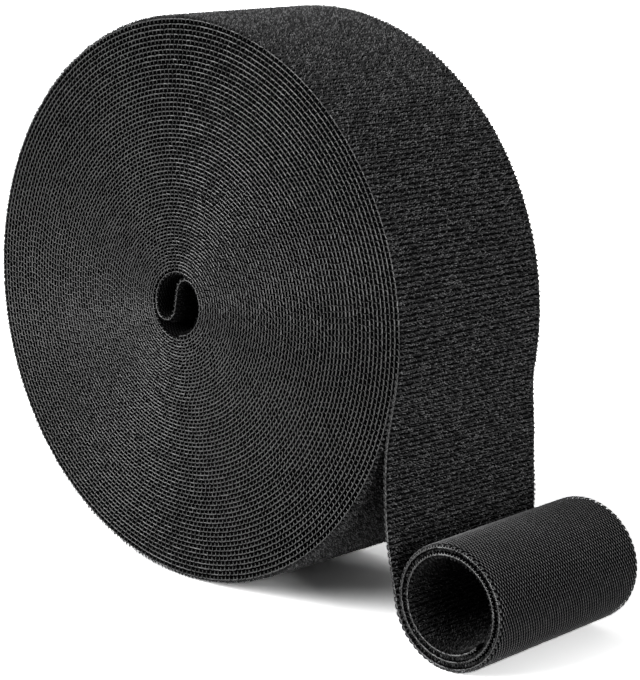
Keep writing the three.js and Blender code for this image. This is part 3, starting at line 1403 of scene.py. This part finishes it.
@dataclass
class Coil:
    """The coil: the S fold in its eye, all its turns and the pile on its rim.

    Attributes:
        dresser: makes its pieces.
        overlap: how far above the departure the tail's pieces take over.
        edge_parts: pieces that the binding of each edge is split into.
        rim_parts: pieces that the pile of the rim is split into.
        fold_pile: share of the S fold, from its end, whose pile shows in the eye.
        fold_bare: share of it, from its end, whose hooks lie against the eye's wall.
        wall_hooks: stretch of the first turn whose hooks show, from where it begins.
        replaced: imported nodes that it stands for.
    """

    dresser: Dresser
    overlap: float = 6.0
    edge_parts: int = 2
    rim_parts: int = 5
    fold_pile: float = 0.57
    fold_bare: float = 0.31
    wall_hooks: Pair = (19.0, 33.0)
    replaced: tuple[str, ...] = (
        "start_fold_hook_ply",
        "start_fold_loop_ply",
        "inner_turns",
        "coil_hook_ply",
        "coil_loop_ply",
    )

    @property
    def stop(self) -> float:
        """Length along the line where the coil's pieces end."""
        return self.dresser.run.depart - self.overlap

    def build(self) -> None:
        tape = self.wound_tape()
        extras = [*self.edges(), *self.eye(), *self.rim()]

    def wound_tape(self) -> Piece:
        """The backing from the S fold through all the turns.

        Returns:
            The wound backing.
        """
        surface = ribbon_surface(self.dresser.span(0.0, self.stop))
        piece = self.dresser.dress("coil_tape", surface, BACKING, Slot.EDGES, STILL)
        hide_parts(*self.replaced)
        return piece

    def edges(self) -> list[Piece]:
        """The binding yarn of both edges, in parts of equal length.

        Returns:
            The parts of the front edge, then those of the back edge.
        """
        bounds = np.linspace(0.0, self.stop, self.edge_parts + 1)
        pieces = []
        for edge in Edge:
            for part in range(self.edge_parts):
                surface = COIL_EDGE.strands(self.dresser.span(*bounds[part:part + 2]), edge)
                name = f"coil_{edge.name.lower()}_binding_{part + 1}"
                pieces.append(self.dresser.dress(name, surface, BINDING, Slot.EDGES, STILL))
        return pieces

    def eye(self) -> list[Piece]:
        """The hooks and the pile that show inside the eye, in a far darker finish that is painted shade of
        the deep eye.

        Returns:
            The pile, then the hooks.
        """
        fold = self.dresser.run.turns_start
        pile = LoopPile().strands(self.dresser.span(0.0, self.fold_pile * fold))
        stretches = ((self.fold_bare * fold, fold), [fold + end for end in self.wall_hooks])
        hooks = joined([HookRows().strands(self.dresser.span(*stretch)) for stretch in stretches])
        return [
            self.dresser.dress("eye_pile", pile, EYE_SHADE_YARN, Slot.LOOPS, STILL),
            self.dresser.dress("eye_hooks", hooks, EYE_SHADE_YARN, Slot.HOOKS, STILL),
        ]

    def rim(self) -> list[Piece]:
        """The pile of the outermost turn and the fibres that stray from it.

        Returns:
            The parts of the pile, then the fibres.
        """
        start = self.dresser.run.rim_start
        bounds = np.linspace(start, self.stop, self.rim_parts + 1)
        pieces = []
        for part in range(self.rim_parts):
            surface = LoopPile().strands(self.dresser.span(*bounds[part:part + 2]))
            pieces.append(self.dresser.dress(f"rim_pile_{part + 1}", surface, PILE, Slot.LOOPS, STILL))
        fibres = StrayFibres().strands(self.dresser.span(start, self.stop))
        pieces.append(self.dresser.dress("rim_fibres", fibres, PILE, Slot.LOOPS, STILL))
        return pieces


class Held(Enum):
    """How a loose stretch of the tape is held."""

    HUNG = "hung"
    FOLDED = "folded"


@dataclass
class LooseStretch:
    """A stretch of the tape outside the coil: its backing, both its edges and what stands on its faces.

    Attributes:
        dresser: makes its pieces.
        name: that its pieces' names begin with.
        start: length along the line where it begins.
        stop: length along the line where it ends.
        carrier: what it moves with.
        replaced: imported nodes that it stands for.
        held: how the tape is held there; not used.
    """

    dresser: Dresser
    name: str
    start: float
    stop: float
    carrier: Carrier
    replaced: tuple[str, ...]
    held: Held

    def build(self) -> None:
        tape = self.backing()
        extras = [self.binding(), *self.faces()]

    def backing(self) -> Piece:
        """The backing of the stretch.

        Returns:
            The backing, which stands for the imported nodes.
        """
        surface = ribbon_surface(self.dresser.span(self.start, self.stop))
        piece = self.dresser.dress(f"{self.name}_tape", surface, BACKING, Slot.EDGES, self.carrier)
        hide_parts(*self.replaced)
        return piece

    def binding(self) -> Piece:
        """The binding yarn of both edges.

        Returns:
            The yarn as one piece.
        """
        span = self.dresser.span(self.start, self.stop)
        both = joined([LOOSE_EDGE.strands(span, edge) for edge in Edge])
        return self.dresser.dress(f"{self.name}_binding", both, BINDING, Slot.EDGES, self.carrier)

    def faces(self) -> list[Piece]:
        """Pile, fibres and hooks over the whole stretch.

        Returns:
            The three pieces.
        """
        return [
            self.pile(f"{self.name}_pile", self.start, self.stop),
            self.fibres(f"{self.name}_fibres", self.start, self.stop),
            self.hooks(f"{self.name}_hooks", self.start, self.stop),
        ]

    def pile(self, name: str, start: float, stop: float, lightness: float = 1.0) -> Piece:
        """A piece of pile between two lengths along the line."""
        surface = LoopPile(lightness=lightness).strands(self.dresser.span(start, stop))
        return self.dresser.dress(name, surface, PILE, Slot.LOOPS, self.carrier)

    def fibres(self, name: str, start: float, stop: float) -> Piece:
        """A piece of stray fibres between two lengths along the line."""
        surface = StrayFibres().strands(self.dresser.span(start, stop))
        return self.dresser.dress(name, surface, PILE, Slot.LOOPS, self.carrier)

    def hooks(self, name: str, start: float, stop: float) -> Piece:
        """A piece of hooks between two lengths along the line."""
        surface = HookRows().strands(self.dresser.span(start, stop))
        return self.dresser.dress(name, surface, HOOK, Slot.HOOKS, self.carrier)


@dataclass
class CurledEnd(LooseStretch):
    """The lower tail and the end roll, whose layers hide most of each other's faces.

    Attributes:
        shown_turn: length of tape in the outermost layer, whose hooks show.
        bore_turn: length of tape in the innermost layer, whose pile shows.
        behind: how far the pile goes on behind the end roll.
        fringe_depth: loops at each edge that show between the layers.
        bore_shaded_tone: share of the full tone that the pile in the bore has, painted shade of the deep
            bore.
    """

    shown_turn: float = 100.0
    bore_turn: float = 80.0
    behind: float = 8.0
    fringe_depth: int = 4
    bore_shaded_tone: float = 0.4

    def faces(self) -> list[Piece]:
        """Pile down the tail and in the bore, hooks down the tail and round the outside.

        Returns:
            The pieces, from the pile to the hooks.
        """
        curl = self.dresser.run.curl
        return [
            self.pile("lower_tail_pile", self.start, curl + self.behind),
            # The bore's pile gets a lower tone as painted shade of the deep bore.
            self.pile("bore_pile", self.stop - self.bore_turn, self.stop, self.bore_shaded_tone),
            self.layer_fringe(curl + self.behind, self.stop - self.bore_turn),
            self.fibres("lower_tail_fibres", self.start, curl),
            self.hooks("lower_tail_hooks", self.start, curl),
            self.hooks("end_roll_hooks", curl, curl + self.shown_turn),
        ]

    def layer_fringe(self, start: float, stop: float) -> Piece:
        """The loops that show at the edges between the layers."""
        surface = LoopPile().fringe(self.dresser.span(start, stop), self.fringe_depth)
        return self.dresser.dress("end_roll_fringe", surface, PILE, Slot.LOOPS, self.carrier)


@dataclass(frozen=True)
class Viewpoint:
    """The camera, fitted to the outline of the coil, the tail and the end roll.

    Attributes:
        azimuth: degrees to the right of the front.
        elevation: degrees above the floor.
        roll: degrees that the picture is turned.
        distance: from the target, in millimetres.
        target: point in the middle of the picture, in millimetres.
        lens: focal length, for a sensor 36 mm on its long side.
    """

    azimuth: float = 42.814
    elevation: float = 13.376
    roll: float = 2.026
    distance: float = 597.77
    target: Triple = (21.63, 0.0, 60.99)
    lens: float = 128.5

    def build(self) -> None:
        """Makes the camera and lets the scene use it."""
        turn, rise, tilt = (math.radians(angle) for angle in (self.azimuth, self.elevation, self.roll))
        back = Vector((math.sin(turn) * math.cos(rise), -math.cos(turn) * math.cos(rise), math.sin(rise)))
        right = Vector((0, 0, 1)).cross(back).normalized()
        up = back.cross(right)
        sideways = right * math.cos(tilt) + up * math.sin(tilt)
        upright = up * math.cos(tilt) - right * math.sin(tilt)
        place = (Vector(self.target) + back * self.distance) * MM
        camera = bpy.data.objects.new("camera", bpy.data.cameras.new("camera"))
        camera.data.lens = self.lens
        axes = Matrix((sideways, upright, back)).transposed().to_4x4()
        camera.matrix_world = Matrix.Translation(place) @ axes
        bpy.context.scene.collection.objects.link(camera)
        bpy.context.scene.camera = camera


@dataclass(frozen=True)
class SoftLamp:
    """A broad studio lamp, as even over the floor as daylight.

    Attributes:
        name: of the lamp.
        towards: direction from the object to the lamp.
        strength: of its light.
        spread: how wide it looks, in degrees.
    """

    name: str
    towards: Triple
    strength: float
    spread: float

    def build(self) -> None:
        """Makes the lamp."""
        data = bpy.data.lights.new(self.name, "SUN")
        data.energy = self.strength
        data.angle = math.radians(self.spread)
        lamp = bpy.data.objects.new(self.name, data)
        lamp.rotation_euler = Vector(self.towards).to_track_quat("Z", "Y").to_euler()
        bpy.context.scene.collection.objects.link(lamp)


@dataclass(frozen=True)
class Studio:
    """Floor, sky and lamps.

    Attributes:
        floor_side: of the square floor, in metres.
        floor_drop: how far below the object it lies, in metres.
        floor_roughness: of its surface.
        floor_tone: how much light the floor gives back.
        floor_mirrored: how much of it a mirror or glass is shown, which is white.
        floor_shown: how much of it the camera is shown, so that only deep shadow is seen.
        sky: strength of the even light all round.
        lamps: broad lamps.
    """

    floor_side: float = 12.0
    floor_drop: float = 0.00005
    floor_roughness: float = 0.9
    floor_tone: float = 0.9
    floor_mirrored: float = 1.05
    floor_shown: float = 3.1
    sky: float = 0.14
    lamps: tuple[SoftLamp, ...] = (
        SoftLamp("key_lamp", (-0.45, -1.0, 0.6), 2.8, 40.0),
        SoftLamp("fill_lamp", (1.0, -0.1, 0.32), 2.1, 40.0),
        SoftLamp("top_lamp", (0.1, 0.35, 1.0), 0.1, 50.0),
    )

    def build(self) -> None:
        """Makes the studio."""
        self.floor()
        self.world()
        for lamp in self.lamps:
            lamp.build()
        bpy.context.scene.view_settings.view_transform = "Standard"

    def seen(self, make: NodeMaker) -> tuple[Socket, Socket]:
        """Whether the camera is what sees a surface.

        Args:
            make: adds nodes to the material or the world.

        Returns:
            A socket that is 1 where the camera sees it directly, and one that is 1 where it is seen in a
            mirror or through glass.
        """
        path = make.node("ShaderNodeLightPath").outputs
        mirrored = make.math("MAXIMUM", path["Is Glossy Ray"], path["Is Transmission Ray"])
        return path["Is Camera Ray"], mirrored

    def floor(self) -> None:
        """A pale floor just below the object."""
        half = self.floor_side / 2
        corners = [(-half, -half, 0), (half, -half, 0), (half, half, 0), (-half, half, 0)]
        mesh = bpy.data.meshes.new("floor")
        mesh.from_pydata(corners, [], [(0, 1, 2, 3)])
        floor = bpy.data.objects.new("floor", mesh)
        floor.location.z = -self.floor_drop
        bpy.context.scene.collection.objects.link(floor)
        material = bpy.data.materials.new("pale_floor")
        material.use_nodes = True
        make = NodeMaker(material.node_tree)
        shader = material.node_tree.nodes["Principled BSDF"]
        greys = (self.floor_tone, self.floor_mirrored, self.floor_shown)
        plain, mirror_grey, camera_grey = ((grey, grey, grey, 1.0) for grey in greys)
        direct, mirrored = self.seen(make)
        colour = make.blend(direct, make.blend(mirrored, plain, mirror_grey), camera_grey)
        make.feed(shader, "Base Color", colour)
        make.feed(shader, "Roughness", self.floor_roughness)
        make.feed(shader, "Specular IOR Level", 0.0)
        mesh.materials.append(material)

    def world(self) -> None:
        """Even light all round, which is white where the camera sees it."""
        world = bpy.data.worlds.new("studio")
        world.use_nodes = True
        make = NodeMaker(world.node_tree)
        sky = world.node_tree.nodes["Background"]
        make.feed(sky, "Color", (1.0, 1.0, 1.0, 1.0))
        seen = make.math("MAXIMUM", *self.seen(make))
        make.feed(sky, "Strength", make.ramp(seen, (0.0, self.sky), (1.0, 1.0)))
        bpy.context.scene.world = world


def tape_width() -> float:
    """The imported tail's width, in millimetres."""
    low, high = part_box("tail_loop_ply")
    return (high.y - low.y) / MM


def main() -> None:
    """Builds the roll around its frame, then the studio and the camera."""
    logging.basicConfig(level=logging.INFO, format="%(name)s %(message)s")
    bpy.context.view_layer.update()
    run = wind(Winding(), Tape(tape_width()))
    LOG.info("tape: %.2f m long", run.end * MM)
    effects = SharedEffects()
    finishes = (BACKING, BINDING, PILE, EYE_SHADE_YARN, HOOK)
    dresser = Dresser(run, {finish.name: finish.material(effects) for finish in finishes})
    coil = Coil(dresser)
    middle = run.depart + UPPER_TAIL
    tail_nodes = ("tail_hook_ply", "tail_loop_ply")
    upper_tail = LooseStretch(dresser, "upper_tail", coil.stop, middle, PEEL, tail_nodes, Held.HUNG)
    roll_nodes = ("end_roll_hook_ply", "end_roll_loop_ply")
    end_roll = CurledEnd(dresser, "end_roll", middle, run.end, LIFT, roll_nodes, Held.FOLDED)
    for part in (coil, upper_tail, end_roll, Studio(), Viewpoint()):
        part.build()


if __name__ == "__main__":
    main()
